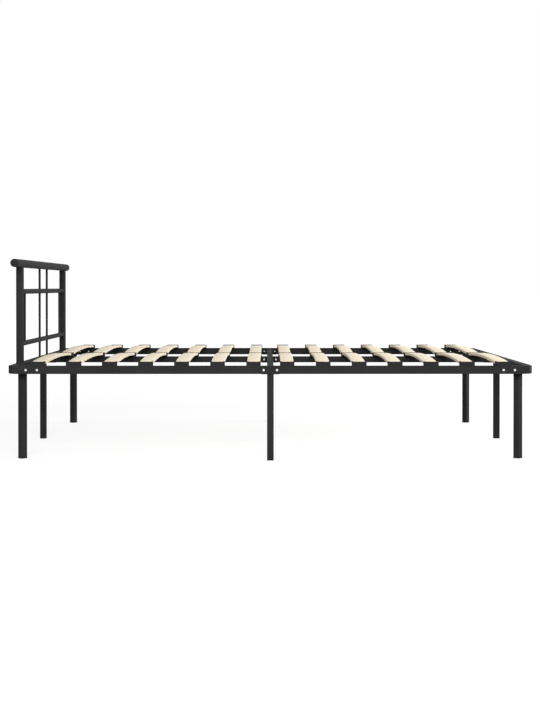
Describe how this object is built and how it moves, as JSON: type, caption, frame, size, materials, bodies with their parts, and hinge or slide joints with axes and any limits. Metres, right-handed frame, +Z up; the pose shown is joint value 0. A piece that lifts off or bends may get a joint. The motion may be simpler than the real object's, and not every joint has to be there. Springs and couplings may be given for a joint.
{
  "type": "bed frame",
  "caption": "Bed frame of black square steel tube with bent ends on square legs, arched wooden slats in plastic holders along a centre rail, and a low tubular headboard.",
  "frame": {"origin": "on the floor, under the middle of the bed", "axes": "+X along the bed from the headboard to the foot end, +Y across the bed to the right as seen from the foot end, +Z up"},
  "size_m": [1.976, 1.4092, 0.757],
  "materials": {
    "frame_paint": "satin black powder coat",
    "slat_wood": "clear-coated birch plywood",
    "holder_plastic": "fine-grained black moulding",
    "cap_plastic": "smooth black moulding",
    "bolt_zinc": "bright zinc plate"
  },
  "bodies": {
    "root": {"centre_leg_left": "frame_paint", "centre_leg_middle": "frame_paint", "centre_leg_right": "frame_paint", "centre_rail_foot": "frame_paint", "centre_rail_head": "frame_paint", "centre_slat_holders": "holder_plastic", "corner_gussets": "frame_paint", "corner_leg_foot_left": "frame_paint", "corner_leg_foot_right": "frame_paint", "corner_leg_head_left": "frame_paint", "corner_leg_head_right": "frame_paint", "corner_splices": "frame_paint", "cross_beams": "frame_paint", "end_leg_foot": "frame_paint", "end_leg_head": "frame_paint", "foot_caps": "cap_plastic", "foot_end_frame": "frame_paint", "frame_bolts": "bolt_zinc", "head_end_frame": "frame_paint", "headboard_lower_crossbar": "frame_paint", "headboard_post_left": "frame_paint", "headboard_post_right": "frame_paint", "headboard_rods": "frame_paint", "headboard_top_rail": "frame_paint", "headboard_upper_crossbar": "frame_paint", "rail_saddles": "frame_paint", "side_rail_foot_left": "frame_paint", "side_rail_foot_right": "frame_paint", "side_rail_head_left": "frame_paint", "side_rail_head_right": "frame_paint", "side_slat_holders": "holder_plastic", "slat_left_01": "slat_wood", "slat_left_02": "slat_wood", "slat_left_03": "slat_wood", "slat_left_04": "slat_wood", "slat_left_05": "slat_wood", "slat_left_06": "slat_wood", "slat_left_07": "slat_wood", "slat_left_08": "slat_wood", "slat_left_09": "slat_wood", "slat_left_10": "slat_wood", "slat_left_11": "slat_wood", "slat_left_12": "slat_wood", "slat_left_13": "slat_wood", "slat_left_14": "slat_wood", "slat_right_01": "slat_wood", "slat_right_02": "slat_wood", "slat_right_03": "slat_wood", "slat_right_04": "slat_wood", "slat_right_05": "slat_wood", "slat_right_06": "slat_wood", "slat_right_07": "slat_wood", "slat_right_08": "slat_wood", "slat_right_09": "slat_wood", "slat_right_10": "slat_wood", "slat_right_11": "slat_wood", "slat_right_12": "slat_wood", "slat_right_13": "slat_wood", "slat_right_14": "slat_wood", "top_rail_end_caps": "cap_plastic"}
  },
  "joints": []
}
